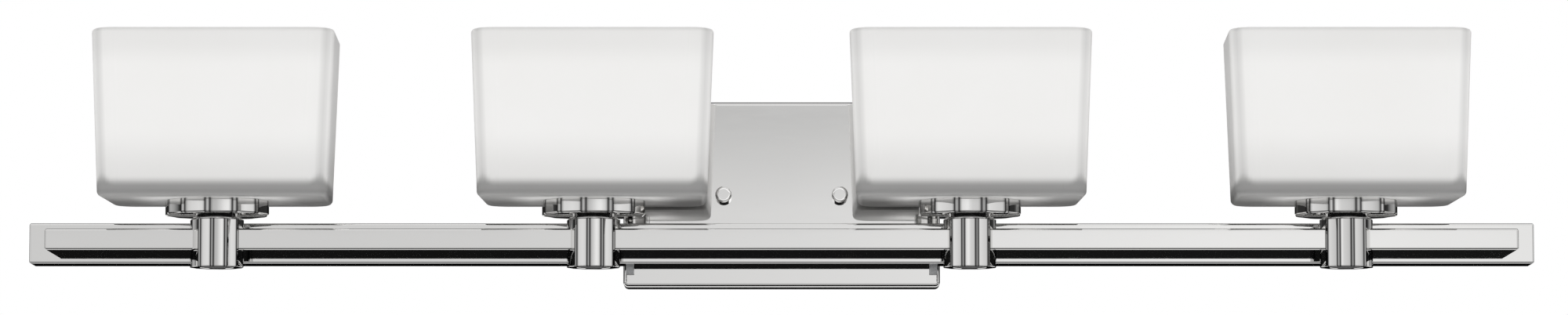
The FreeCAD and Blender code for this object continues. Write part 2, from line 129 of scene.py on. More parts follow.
CAPSULE = {"foot": 5.6 * MM, "foot_flat": 5.0 * MM, "foot_edge": 0.5 * MM, "shoulder": 4.5 * MM}
CAPSULE_STRAIGHT = 12 * MM
CAPSULE_COUNT = 48
POLE = 0.02 * MM
COIL = {"half": 4.2 * MM, "radius": 0.8 * MM, "wire": 0.11 * MM, "turns": 20.0, "steps": 240}
# The two wires that hold the coil: distance from the lamp's axis and height above its foot.
LEG = ((3.0 * MM, 1.0 * MM), (3.2 * MM, 12 * MM), (COIL["half"], 18 * MM))
LEG_WIRE = 0.25 * MM


# ---------------------------------------------------------------- small sums
def mid(node, axis):
    low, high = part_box(node)
    return 0.5 * (low[axis] + high[axis])


LAMP_X = {n: mid("socket_%d" % n, 0) for n in LAMPS}
LAMP_Y = mid("socket_1", 1)


def smooth(value):
    t = max(0.0, min(1.0, value))
    return t * t * (3.0 - 2.0 * t)


def blend(a, b, share):
    return a + (b - a) * share


def quarter(steps):
    return [0.5 * math.pi * k / steps for k in range(steps + 1)]


# ---------------------------------------------------------------- node helpers
def new_material(name):
    mat = bpy.data.materials.new(name)
    mat.use_nodes = True
    tree = mat.node_tree
    shader = tree.nodes["Principled BSDF"]
    return mat, tree, shader


def add(tree, kind, **values):
    node = tree.nodes.new(kind)
    for key, value in values.items():
        setattr(node, key, value)
    return node


def object_coords(tree):
    return add(tree, "ShaderNodeTexCoord").outputs["Object"]


def noise(tree, scale, detail=3.0, stretch=None):
    node = add(tree, "ShaderNodeTexNoise")
    node.inputs["Scale"].default_value = scale
    node.inputs["Detail"].default_value = detail
    coords = object_coords(tree)
    if stretch:
        mapping = add(tree, "ShaderNodeMapping")
        mapping.inputs["Scale"].default_value = stretch
        tree.links.new(coords, mapping.inputs["Vector"])
        coords = mapping.outputs["Vector"]
    tree.links.new(coords, node.inputs["Vector"])
    return node.outputs["Fac"]


def remap(tree, value, low, high, to_low, to_high):
    node = add(tree, "ShaderNodeMapRange")
    node.inputs["From Min"].default_value = low
    node.inputs["From Max"].default_value = high
    node.inputs["To Min"].default_value = to_low
    node.inputs["To Max"].default_value = to_high
    tree.links.new(value, node.inputs["Value"])
    return node.outputs["Result"]


def mix_colour(tree, fac, a, b):
    node = add(tree, "ShaderNodeMix", data_type="RGBA")
    for socket, value in ((node.inputs[6], a), (node.inputs[7], b)):
        if isinstance(value, tuple):
            socket.default_value = value + (1.0,)
        else:
            tree.links.new(value, socket)
    tree.links.new(fac, node.inputs[0])
    return node.outputs[2]


def bump(tree, shader, height, strength, distance):
    node = add(tree, "ShaderNodeBump")
    node.inputs["Strength"].default_value = strength
    node.inputs["Distance"].default_value = distance
    tree.links.new(height, node.inputs["Height"])
    tree.links.new(node.outputs["Normal"], shader.inputs["Normal"])


# ---------------------------------------------------------------- materials
def chrome_material(name, colour, rough, painted_ridges=False):
    mat, tree, shader = new_material(name)
    shader.inputs["Metallic"].default_value = 1.0
    haze = noise(tree, 9.0, 4.0)
    tint = remap(tree, haze, 0.35, 0.7, 0.0, 1.0)
    darker = tuple(c * 0.985 for c in colour)
    polish = mix_colour(tree, tint, colour, darker)
    # Painted dark reflection along the ridges of the fluted pieces.
    if painted_ridges:
        ridge_reflection = add(tree, "ShaderNodeAttribute", attribute_name="ridge_reflection")
        polish = mix_colour(tree, ridge_reflection.outputs["Fac"], polish, (0.03, 0.03, 0.03))
    tree.links.new(polish, shader.inputs["Base Color"])
    wiped = noise(tree, 60.0, 5.0, (1.0, 1.0, 6.0))
    rough_out = remap(tree, wiped, 0.3, 0.75, rough, rough + 0.03)
    tree.links.new(rough_out, shader.inputs["Roughness"])
    ripple = noise(tree, 14.0, 1.0)
    bump(tree, shader, ripple, 0.012, 0.002)
    return mat


def metal_material(name, colour, rough, grain, stretch=None, depth=0.08, metallic=1.0):
    mat, tree, shader = new_material(name)
    shader.inputs["Metallic"].default_value = metallic
    speck = noise(tree, grain, 5.0, stretch)
    fac = remap(tree, speck, 0.3, 0.7, 0.0, 1.0)
    darker = tuple(c * 0.78 for c in colour)
    tree.links.new(mix_colour(tree, fac, colour, darker), shader.inputs["Base Color"])
    tree.links.new(remap(tree, speck, 0.3, 0.7, rough, rough + 0.14), shader.inputs["Roughness"])
    bump(tree, shader, speck, depth, 0.0004)
    return mat


def soft_material(name, colour, rough, grain, depth=0.1, subsurface=0.0):
    mat, tree, shader = new_material(name)
    speck = noise(tree, grain, 4.0)
    fac = remap(tree, speck, 0.3, 0.7, 0.0, 1.0)
    darker = tuple(c * 0.9 for c in colour)
    tree.links.new(mix_colour(tree, fac, colour, darker), shader.inputs["Base Color"])
    tree.links.new(remap(tree, speck, 0.3, 0.7, rough, rough + 0.1), shader.inputs["Roughness"])
    shader.inputs["Subsurface Weight"].default_value = subsurface
    shader.inputs["Subsurface Radius"].default_value = (0.003, 0.003, 0.003)
    bump(tree, shader, speck, depth, 0.0003)
    return mat


def opal_material():
    mat, tree, shader = new_material("opal_glass")
    # Whiteness painted on each point of the glass: partly its own look, partly painted light and shade.
    tone_and_painted_light = add(tree, "ShaderNodeAttribute", attribute_name="tone_and_painted_light")
    shade = add(tree, "ShaderNodeValToRGB")
    ramp = shade.color_ramp
    ramp.elements[0].position = 0.0
    ramp.elements[0].color = (0.0, 0.0, 0.0, 1.0)
    ramp.elements[1].position = 1.0
    ramp.elements[1].color = (1.0, 0.994, 0.984, 1.0)
    tree.links.new(tone_and_painted_light.outputs["Fac"], shade.inputs["Fac"])
    cloud = remap(tree, noise(tree, 18.0, 3.0), 0.3, 0.7, 0.0, 1.0)
    toned = add(tree, "ShaderNodeMix", data_type="RGBA", blend_type="MULTIPLY")
    toned.inputs[0].default_value = 1.0
    tree.links.new(shade.outputs["Color"], toned.inputs[6])
    tint = mix_colour(tree, cloud, (1.0, 1.0, 1.0), (0.985, 0.983, 0.978))
    tree.links.new(tint, toned.inputs[7])
    tree.links.new(toned.outputs[2], shader.inputs["Base Color"])
    # Painted light: the glass glows underneath and at its bottom edge.
    painted_glow = add(tree, "ShaderNodeAttribute", attribute_name="painted_glow")
    painted_glow_colour = mix_colour(tree, painted_glow.outputs["Fac"], (0.0, 0.0, 0.0), (1.0, 0.985, 0.97))
    tree.links.new(painted_glow_colour, shader.inputs["Emission Color"])
    shader.inputs["Emission Strength"].default_value = 1.0
    etched = noise(tree, 2600.0, 2.0)
    tree.links.new(remap(tree, etched, 0.3, 0.7, 0.34, 0.46), shader.inputs["Roughness"])
    shader.inputs["IOR"].default_value = 1.5
    shader.inputs["Subsurface Weight"].default_value = 0.25
    shader.inputs["Subsurface Radius"].default_value = (0.004, 0.004, 0.004)
    shader.inputs["Specular IOR Level"].default_value = 0.35
    bump(tree, shader, etched, 0.05, 0.0001)
    return mat


def clear_glass_material():
    mat, tree, shader = new_material("clear_bulb_glass")
    shader.inputs["Transmission Weight"].default_value = 1.0
    shader.inputs["IOR"].default_value = 1.46
    drawn = noise(tree, 120.0, 3.0, (1.0, 1.0, 0.15))
    tree.links.new(remap(tree, drawn, 0.3, 0.7, 0.0, 0.03), shader.inputs["Roughness"])
    fac = remap(tree, drawn, 0.3, 0.7, 0.0, 1.0)
    clear = mix_colour(tree, fac, (0.98, 0.99, 0.99), (0.95, 0.97, 0.97))
    tree.links.new(clear, shader.inputs["Base Color"])
    bump(tree, shader, drawn, 0.03, 0.0005)
    return mat


CHROME_COLOUR = (0.90, 0.895, 0.885)
CHROME = chrome_material("polished_chrome", CHROME_COLOUR, 0.012)
FLUTED_CHROME = chrome_material("fluted_chrome", CHROME_COLOUR, 0.012, True)
DARK_CHROME = chrome_material("turned_chrome", (0.72, 0.715, 0.71), 0.03)
STEEL = metal_material("zinc_steel", (0.62, 0.63, 0.64), 0.28, 900.0)
GALVANISED = metal_material("galvanised", (0.6, 0.61, 0.63), 0.36, 260.0, depth=0.05)
BRASS = metal_material("threaded_brass", (0.74, 0.56, 0.28), 0.26, 1400.0, (1.0, 1.0, 3.0), 0.2)
GREEN = metal_material("green_screw", (0.05, 0.34, 0.12), 0.35, 500.0, metallic=0.3)
OPAL = opal_material()
BULB_GLASS = clear_glass_material()
CERAMIC = soft_material("socket_ceramic", (0.86, 0.84, 0.79), 0.45, 700.0, 0.12)
PINCH = soft_material("bulb_base", (0.84, 0.83, 0.8), 0.35, 500.0, 0.08)
SILICONE = soft_material("silicone", (0.78, 0.78, 0.75), 0.5, 400.0, 0.1, 0.3)
BLACK_PLASTIC = soft_material("black_plastic", (0.03, 0.03, 0.032), 0.45, 800.0, 0.1)
BLACK_WIRE = soft_material("black_insulation", (0.02, 0.02, 0.022), 0.3, 300.0, 0.05)
WHITE_WIRE = soft_material("white_insulation", (0.82, 0.81, 0.78), 0.32, 300.0, 0.05)
TUNGSTEN = metal_material("tungsten", (0.35, 0.34, 0.33), 0.4, 3000.0)

SLOT_MATERIAL = {
    "opal_glass": OPAL,
    "polished_chrome": CHROME,
    "dark_chrome": DARK_CHROME,
    "silicone": SILICONE,
    "steel_hardware": STEEL,
    "socket_ceramic": CERAMIC,
    "bulb_glass": BULB_GLASS,
    "bulb_pinch": PINCH,
    "brass_hardware": BRASS,
    "black_plastic": BLACK_PLASTIC,
    "black_insulation": BLACK_WIRE,
    "white_insulation": WHITE_WIRE,
    "galvanised_steel": GALVANISED,
    "green_screw": GREEN,
}


# ---------------------------------------------------------------- mesh helpers
def place_object(name, data):
    piece = bpy.data.objects.new(name, data)
    bpy.context.scene.collection.objects.link(piece)
    return piece


def finish_mesh(name, verts, faces, material, sharp=35.0, weighted=True):
    mesh = bpy.data.meshes.new(name)
    mesh.from_pydata([tuple(v) for v in verts], [], faces)
    mesh.update()
    bm = bmesh.new()
    bm.from_mesh(mesh)
    bmesh.ops.recalc_face_normals(bm, faces=bm.faces)
    bm.to_mesh(mesh)
    bm.free()
    return dress(name, mesh, material, sharp, weighted)


def dress(name, mesh, material, sharp=35.0, weighted=True):
    for face in mesh.polygons:
        face.use_smooth = True
    mesh.set_sharp_from_angle(angle=math.radians(sharp))
    piece = place_object(name, mesh)
    mesh.materials.append(material)
    if weighted:
        mod = piece.modifiers.new("flat_faces", "WEIGHTED_NORMAL")
        mod.mode = "FACE_AREA"
        mod.weight = 100
        mod.keep_sharp = True
    return piece


def settle(piece, body, nodes):
    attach(piece, body)
    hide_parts(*nodes)
    return piece


def loops_to_mesh(loops, closed=True):
    """Quads between rings of equal length; closed joins the last ring to the first."""
    count = len(loops[0])
    verts = [p for loop in loops for p in loop]
    faces = []
    rings = len(loops)
    for r in range(rings if closed else rings - 1):
        a = r * count
        b = ((r + 1) % rings) * count
        for k in range(count):
            n = (k + 1) % count
            faces.append((a + k, a + n, b + n, b + k))
    return verts, faces


def circle(cx, cy, radius, z, count):
    step = 2.0 * math.pi / count
    ring = []
    for k in range(count):
        ring.append(Vector((cx + radius * math.cos(k * step), cy + radius * math.sin(k * step), z)))
    return ring


def lathe(cx, cy, profile, count, closed):
    return loops_to_mesh([circle(cx, cy, r, z, count) for r, z in profile], closed)


def cap_ends(faces, total, count):
    """Close both ends of an open stack of rings, each with count points."""
    faces.append(tuple(range(total - count, total)))
    faces.append(tuple(range(count - 1, -1, -1)))


# ---------------------------------------------------------------- fluted pieces
def turned(vector, angle):
    c, t = math.cos(angle), math.sin(angle)
    return Vector((vector.x * c - vector.y * t, vector.x * t + vector.y * c))


def fluted_outline(flutes, turn):
    """Place, outward normal and distance to the nearest ridge of each point round a fluted section."""
    radius, arris, land = flutes["radius"], flutes["arris"], flutes["land"]
    half_pitch = math.pi / FLUTES
    flute_half = half_pitch - math.asin(0.5 * land / radius)
    chord = radius * math.sin(flute_half)
    lean = 2.0 * math.atan(flutes["hollow"] / chord)
    reach = chord - arris * math.tan(0.5 * (half_pitch + lean))
    points = []
    for k in range(FLUTES):
        middle = math.radians(-90.0 + 360.0 / FLUTES * k + turn)
        out = Vector((math.cos(middle), math.sin(middle)))
        along = turned(out, 0.5 * math.pi)
        for j in range(FLUTE_STEPS):
            t = -1.0 + 2.0 * j / (FLUTE_STEPS - 1)
            across = t * reach
            sink = flutes["hollow"] * (1.0 - (across / chord) ** 2)
            place = out * (radius * math.cos(flute_half) - sink) + along * across
            points.append((place, turned(out, t * -lean), chord - abs(across)))
        corner = turned(out, flute_half) * radius
        land_out = turned(out, half_pitch)
        land_along = turned(land_out, 0.5 * math.pi)
        points.extend(arris_points(corner, turned(out, -lean), land_out, arris))
        for t in (0.25, 0.5, 0.75):
            points.append((corner + land_along * (land * t), land_out, land * min(t, 1.0 - t)))
        far_corner = corner + land_along * land
        next_in = turned(out, 2.0 * half_pitch + lean)
        points.extend(arris_points(far_corner, land_out, next_in, arris))
    return points


def arris_points(corner, normal_in, normal_out, arris):
    """A small round between two faces that meet at a corner."""
    cross = normal_in.x * normal_out.y - normal_in.y * normal_out.x
    sweep = math.atan2(cross, normal_in.dot(normal_out))
    middle = (normal_in + normal_out).normalized()
    centre = corner - middle * (arris / math.cos(0.5 * sweep))
    found = []
    for j in range(ARRIS_STEPS):
        normal = turned(normal_in, sweep * j / (ARRIS_STEPS - 1))
        found.append((centre + normal * arris, normal, 0.0))
    return found


def fluted_loops(cx, cy, outline, levels):
    loops = []
    for inset, z in levels:
        ring = []
        for p, n, gap in outline:
            ring.append(Vector((cx + p.x - n.x * inset, cy + p.y - n.y * inset, z)))
        loops.append(ring)
    return loops


def ring_like(cx, cy, outline, radius, z):
    ring = []
    for p, n, gap in outline:
        d = p.normalized() * radius
        ring.append(Vector((cx + d.x, cy + d.y, z)))
    return ring


def paint_ridge_reflection(mesh, outline, rings, width):
    """Paint each outside point darker the closer it is to a ridge, as a painted dark reflection along the
    ridges.
    """
    attr = mesh.attributes.new("ridge_reflection", "FLOAT", "POINT")
    count = len(outline)
    for index in range(rings * count):
        attr.data[index].value = smooth(1.15 - outline[index % count][2] / width)


def edge_levels(z_low, z_high, low_edge, high_edge, steps=5):
    """Inset and height of each ring of a side whose two edges are rounded."""
    levels = []
    for t in quarter(steps):
        levels.append((low_edge * (1.0 - math.sin(t)), z_low + low_edge * (1.0 - math.cos(t))))
    for t in quarter(steps):
        levels.append((high_edge * (1.0 - math.cos(t)), z_high - high_edge * (1.0 - math.sin(t))))
    return levels


def fluted_piece(name, n, outline, levels, inner, ridge_reflection):
    """A fluted outside joined to plain inner rings, given as radius and height."""
    x = LAMP_X[n]
    loops = fluted_loops(x, LAMP_Y, outline, levels)
    for radius, z in inner:
        loops.append(ring_like(x, LAMP_Y, outline, radius, z))
    piece = finish_mesh("%s_%d" % (name, n), *loops_to_mesh(loops), FLUTED_CHROME)
    # Painted dark reflection along the ridges.
    paint_ridge_reflection(piece.data, outline, len(levels), ridge_reflection)
    return piece


def stem(n):
    low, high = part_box("stem_%d" % n)
    outline = fluted_outline(STEM_FLUTES, LAMP_TURN[n])
    levels = edge_levels(low[2], high[2], 0.45 * MM, 0.3 * MM)
    roof = high[2] - STEM_ROOF
    inner = [
        (NIPPLE_BORE, high[2]),
        (NIPPLE_BORE, roof),
        (STEM_BORE, roof),
        (STEM_BORE, low[2] + STEM_MOUTH),
        (STEM_BORE + STEM_MOUTH, low[2]),
    ]
    piece = fluted_piece("fluted_stem", n, outline, levels, inner, STEM_RIDGE_REFLECTION)
    return settle(piece, "fixture", ["stem_%d" % n])


def collar(n):
    low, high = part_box("collar_%d" % n)
    outline = fluted_outline(COLLAR_FLUTES, LAMP_TURN[n])
    levels = edge_levels(low[2], high[2], 1.2 * MM, 0.6 * MM, 7)
    inner = [
        (COLLAR_SEAT, high[2]),
        (NIPPLE_BORE, high[2]),
        (NIPPLE_BORE, low[2]),
        (COLLAR_UNDERSIDE, low[2]),
    ]
    piece = fluted_piece("scalloped_collar", n, outline, levels, inner, COLLAR_RIDGE_REFLECTION)
    return settle(piece, "fixture", ["collar_%d" % n])


def neck(n):
    low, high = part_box("neck_%d" % n)
    z0, z1 = low[2], high[2]
    flange, body, edge = 14.5 * MM, 13.2 * MM, 0.5 * MM
    step = z0 + 1.3 * MM
    profile = [(NIPPLE_BORE, z0), (flange - 0.3 * MM, z0), (flange, z0 + 0.3 * MM)]
    for t in quarter(5):
        profile.append((flange - edge * (1 - math.cos(t)), step - edge * (1 - math.sin(t))))
    profile += [(body + 0.3 * MM, step), (body, step + 0.25 * MM), (body, z1), (NIPPLE_BORE, z1)]
    verts, faces = lathe(LAMP_X[n], LAMP_Y, profile, 96, True)
    piece = finish_mesh("turned_neck_%d" % n, verts, faces, DARK_CHROME)
    return settle(piece, "fixture", ["neck_%d" % n])


# ---------------------------------------------------------------- bar, rail and plate
def box_mesh(low, high, edges):
    """A block whose edges are rounded by the radius that edges(a, b) gives for their two ends."""
    bm = bmesh.new()
    bmesh.ops.create_cube(bm, size=1.0)
    for v in bm.verts:
        v.co = Vector([low[i] + (v.co[i] + 0.5) * (high[i] - low[i]) for i in range(3)])
    radii = {}
    for edge in bm.edges:
        r = edges(edge.verts[0].co, edge.verts[1].co)
        if r:
            radii.setdefault(r, []).append(edge)
    for r in sorted(radii, reverse=True):
        chosen = [e for e in radii[r] if e.is_valid]
        bmesh.ops.bevel(bm, geom=chosen, offset=r, segments=BEVEL_STEPS, profile=0.5, affect="EDGES")
    return bm


def to_mesh(bm, name):
    bmesh.ops.recalc_face_normals(bm, faces=bm.faces)
    mesh = bpy.data.meshes.new(name)
    bm.to_mesh(mesh)
    bm.free()
    return mesh


def front_edges(back, radius):
    def choose(a, b):
        on_back = abs(a.y - back) < TINY and abs(b.y - back) < TINY
        return 0.0 if on_back else radius
    return choose


def carve(piece, cutter):
    mod = piece.modifiers.new("cut", "BOOLEAN")
    mod.operation = "DIFFERENCE"
    mod.solver = "EXACT"
    mod.object = cutter
    depsgraph = bpy.context.evaluated_depsgraph_get()
    mesh = bpy.data.meshes.new_from_object(piece.evaluated_get(depsgraph))
    old = piece.data
    piece.modifiers.remove(mod)
    piece.data = mesh
    mesh.name = old.name
    bpy.data.meshes.remove(old)


def flute_cutter(n, bottom, top):
    """A solid with the stem's outline, taller than the rail."""
    outline = fluted_outline(STEM_FLUTES, LAMP_TURN[n])
    count = len(outline)
    loops = fluted_loops(LAMP_X[n], LAMP_Y, outline, [(0.0, bottom), (0.0, top)])
    verts, faces = loops_to_mesh(loops, False)
    faces.append(tuple(range(count)))
    faces.append(tuple(range(2 * count - 1, count - 1, -1)))
    mesh = bpy.data.meshes.new("cutter")
    mesh.from_pydata([tuple(v) for v in verts], [], faces)
    return place_object("cutter", mesh)


def front_rail():
    low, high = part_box("front_rail")
    past = 10.0 * MM
    mesh = to_mesh(box_mesh(low, high, front_edges(high[1], RAIL_EDGE)), "shelf_rail")
    piece = place_object("shelf_rail", mesh)
    for n in LAMPS:
        cutter = flute_cutter(n, low[2] - past, high[2] + past)
        cutter_mesh = cutter.data
        carve(piece, cutter)
        bpy.data.objects.remove(cutter)
        bpy.data.meshes.remove(cutter_mesh)
    mesh = piece.data
    bpy.data.objects.remove(piece)
    piece = dress("shelf_rail", mesh, CHROME)
    return settle(piece, "fixture", ["front_rail"])


def open_back(bm, back):
    """Take away the face that lies on the plane y = back."""
    faces = [f for f in bm.faces if all(abs(v.co.y - back) < TINY for v in f.verts)]
    bmesh.ops.delete(bm, geom=faces, context="FACES_ONLY")


def pressed_sheet(bm, name, thickness):
    """Turn an open shell into sheet metal of the given thickness, inward from its outside."""
    piece = dress(name, to_mesh(bm, name), CHROME)
    wall = piece.modifiers.new("sheet", "SOLIDIFY")
    wall.thickness = thickness
    wall.offset = -1.0
    piece.modifiers.move(1, 0)
    return piece


def rear_bar():
    low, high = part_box("rear_bar")
    bm = box_mesh(low, high, front_edges(high[1], BAR_EDGE))
    open_back(bm, high[1])
    piece = pressed_sheet(bm, "channel_bar", BAR_SHEET)
    return settle(piece, "fixture", ["rear_bar"])


def plate_corners(a, b):
    """Round the four edges that run from front to back."""
    runs_back = abs(a.y - b.y) > 1e-4
    return PLATE_CORNER if runs_back else 0.0


def backplate():
    low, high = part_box("backplate")
    bm = box_mesh(low, high, plate_corners)
    rim = [e for e in bm.edges if all(abs(v.co.y - low[1]) < TINY for v in e.verts)]
    bmesh.ops.bevel(bm, geom=rim, offset=PLATE_EDGE, segments=BEVEL_STEPS, profile=0.5, affect="EDGES")
    open_back(bm, high[1])
    piece = pressed_sheet(bm, "canopy_plate", PLATE_SHEET)
    return settle(piece, "fixture", ["backplate"])


def cap_nut(side):
    node = "cap_nut_" + side
    low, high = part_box(node)
    cx, cz = 0.5 * (low[0] + high[0]), 0.5 * (low[2] + high[2])
    radius = 0.5 * (high[0] - low[0])
    front, back = low[1], high[1]
    bore, edge, chamfer = 2.2 * MM, 1.2 * MM, 0.3 * MM
    profile = [(bore, back), (radius - chamfer, back), (radius, back - chamfer)]
    for t in quarter(7):
        profile.append((radius - edge * (1 - math.cos(t)), front + edge * (1 - math.sin(t))))
    profile += [(0.6 * radius, front), (POLE, front)]
    count = 72
    step = 2.0 * math.pi / count
    loops = []
    for r, y in profile:
        ring = []
        for k in range(count):
            ring.append(Vector((cx + r * math.cos(k * step), y, cz + r * math.sin(k * step))))
        loops.append(ring)
    verts, faces = loops_to_mesh(loops, False)
    cap_ends(faces, len(verts), count)
    piece = finish_mesh("round_" + node, verts, faces, CHROME)
    return settle(piece, "cap_" + side, [node])


# ---------------------------------------------------------------- glass
def spread(count):
    """Shares from 0 up to but not including 1, closer together near both ends."""
    return [0.5 - 0.5 * math.cos(math.pi * k / count) for k in range(count)]


def glass_size(part):
    """Width at the front and depth, at a share of the glass's height."""
    width = blend(GLASS["bottom_width"], GLASS["top_width"], part)
    depth = blend(GLASS["bottom_depth"], GLASS["top_depth"], part)
    return width, depth


def corner_arc(before, here, after, radius):
    """Start, stop and centre of the arc that rounds the corner at here."""
    back = (before - here).normalized()
    ahead = (after - here).normalized()
    half = 0.5 * back.angle(ahead)
    reach = radius / math.tan(half)
    centre = here + (back + ahead).normalized() * (radius / math.sin(half))
    return here + back * reach, here + ahead * reach, centre


def arc_points(start, stop, centre, radius, steps):
    a0 = math.atan2(start.y - centre.y, start.x - centre.x)
    a1 = math.atan2(stop.y - centre.y, stop.x - centre.x)
    if a1 < a0:
        a1 += 2.0 * math.pi
    points = []
    for j in range(steps):
        a = a0 + (a1 - a0) * j / steps
        points.append(Vector((centre.x + radius * math.cos(a), centre.y + radius * math.sin(a))))
    return points


def glass_ring(cx, part, inset, corner, z):
    """One rounded trapezoid, wide side to the front, going anticlockwise from the front left."""
    width, depth = glass_size(part)
    narrow = width - 2.0 * depth * GLASS["draft"]
    front = 0.5 * width - inset
    back = 0.5 * narrow - inset
    half_depth = 0.5 * depth - inset
    corners = [
        Vector((-front, -half_depth)),
        Vector((front, -half_depth)),
        Vector((back, half_depth)),
        Vector((-back, half_depth)),
    ]
    arcs = []
    for k in range(4):
        arcs.append(corner_arc(corners[k - 1], corners[k], corners[(k + 1) % 4], corner))
    points = []
    for k in range(4):
        start, stop, centre = arcs[k]
        next_start = arcs[(k + 1) % 4][0]
        points.extend(arc_points(start, stop, centre, corner, GLASS_CORNER_STEPS))
        points.extend([stop.lerp(next_start, t) for t in spread(GLASS_SIDE_STEPS)])
    return [Vector((cx + p.x, LAMP_Y + p.y, z)) for p in points]


def ring_to_circle(ring, cx, radius, z):
    out = []
    for p in ring:
        d = Vector((p.x - cx, p.y - LAMP_Y)).normalized() * radius
        out.append(Vector((cx + d.x, LAMP_Y + d.y, z)))
    return out


def outer_rings(z0, z1):
    """Inset, corner radius and height of each ring up the outside, closest together near the base."""
    corner, base, rim = GLASS["corner"], GLASS["base_edge"], GLASS["rim_out"]
    rings = []
    for t in quarter(9):
        inset = base * (1.0 - math.sin(t))
        rings.append((inset, corner - inset, z0 + base * (1.0 - math.cos(t))))
    fine, fine_count, coarse_count = 0.8 * MM, 13, 26
    fine_top = base + fine * fine_count
    top = z1 - rim
    rises = [base + fine * k for k in range(1, fine_count + 1)]
    rises += [fine_top + (top - z0 - fine_top) * k / coarse_count for k in range(1, coarse_count)]
    rings += [(0.0, corner, z0 + rise) for rise in rises]
    for t in quarter(6):
        inset = rim * (1.0 - math.cos(t))
        rings.append((inset, corner - inset, top + rim * math.sin(t)))
    return rings


def inner_rings(floor_top, z1):
    """Inset, corner radius and height of each ring down the inside, from the rim to the floor."""
    wall, rim, bend = GLASS["wall"], GLASS["rim_in"], GLASS["inner_round"]
    corner = GLASS["corner"] - wall
    rings = []
    for t in quarter(5)[1:]:
        inset = wall - rim * (1.0 - math.sin(t))
        rings.append((inset, corner + wall - inset, z1 - rim * (1.0 - math.cos(t))))
    top, low, count = z1 - rim, floor_top + bend, 20
    for k in range(1, count):
        rings.append((wall, corner, top + (low - top) * k / count))
    for t in quarter(6):
        turn_in = bend * (1.0 - math.cos(t))
        rings.append((wall + turn_in, corner - turn_in, low - bend * math.sin(t)))
    return rings


def towards(ring, cx, radius, z, share):
    """A circle of the given radius, moved by a share of the way to ring."""
    return [c.lerp(p, share) for c, p in zip(ring_to_circle(ring, cx, radius, z), ring)]


def shade(n):
    node = "shade_%d" % n
    low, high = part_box(node)
    cx = LAMP_X[n]
    z0, z1 = low[2], high[2]
    tall = z1 - z0
    floor_top = z0 + GLASS["floor"]
    outside = outer_rings(z0, z1)
    inside = inner_rings(floor_top, z1)
    loops = []
    for inset, corner, z in outside + inside:
        loops.append(glass_ring(cx, (z - z0) / tall, inset, max(corner, GLASS["least_corner"]), z))
    kinds = ["out"] * len(outside) + ["in"] * len(inside)
    first, last = loops[0], loops[-1]
    for radius, share in FLOOR_RINGS:
        loops.append(towards(last, cx, radius, floor_top, share))
        kinds.append("in")
    roof = z0 + GLASS["recess_depth"]
    seat = ((GLASS["hole"], roof), (GLASS["gasket"], roof), (GLASS["recess"], roof), (GLASS["recess"], z0))
    for radius, z in seat:
        loops.append(ring_to_circle(first, cx, radius, z))
        kinds.append("under")
    for share, kind in ((0.33, "under"), (0.66, "under_edge")):
        loops.append(towards(first, cx, GLASS["recess"], z0, share))
        kinds.append(kind)
    verts, faces = loops_to_mesh(loops)
    piece = finish_mesh("opal_cup_%d" % n, verts, faces, OPAL, 50.0)
    paint_tone_and_light(piece.data, cx, z0, z1, kinds, len(first))
    return settle(piece, "glass_%d" % n, [node])


# Whiteness and painted glow inside the cup and underneath; the whiteness underneath is painted light.
PLAIN_LOOK = {
    "in": (TONE_PANEL, 0.0),
    "under": (PAINTED_LIGHT_UNDER, PAINTED_GLOW_UNDER),
    "under_edge": (0.5 * PAINTED_LIGHT_UNDER, PAINTED_GLOW_EDGE),
}


def paint_tone_and_light(mesh, cx, z0, z1, kinds, count):
    """How white each point of the glass looks, partly its own look and partly painted light and shade, and
    how much painted glow it gives.
    """
    mesh.attributes.new("tone_and_painted_light", "FLOAT", "POINT")
    mesh.attributes.new("painted_glow", "FLOAT", "POINT")
    tones = mesh.attributes["tone_and_painted_light"].data
    painted_glows = mesh.attributes["painted_glow"].data
    for index, vert in enumerate(mesh.vertices):
        kind = kinds[index // count]
        if kind == "out":
            tone_and_painted_light, painted_glow = outside_look(vert.co, cx, z0, z1 - z0)
        else:
            tone_and_painted_light, painted_glow = PLAIN_LOOK[kind]
        tones[index].value = tone_and_painted_light
        painted_glows[index].value = painted_glow


def climb(value, start, length):
    """0 below start, 1 above start + length, and smooth between."""
    return smooth((value - start) / length)


def cup_behind(p, cx, part, up):
    """1 where the open cup lies behind a point of the outside, 0 where the glass there is solid."""
    width, depth = glass_size(part)
    from_front = 0.5 * depth + p.y - LAMP_Y
    from_edge = 0.5 * width - from_front * GLASS["draft"] - abs(p.x - cx)
    from_face = min(from_front, depth - from_front)
    across = max(from_edge, from_face) - CAVITY["side"]
    radius = CAVITY["corner"]
    a, b = radius - across, radius - up
    if a > 0.0 and b > 0.0:
        inside = radius - math.hypot(a, b)
        soft = blend(CAVITY["soft_side"], CAVITY["soft_base"], b / (a + b))
    else:
        inside = min(across, up)
        soft = CAVITY["soft_side"] if across < up else CAVITY["soft_base"]
    return smooth(0.5 + 0.5 * inside / soft)


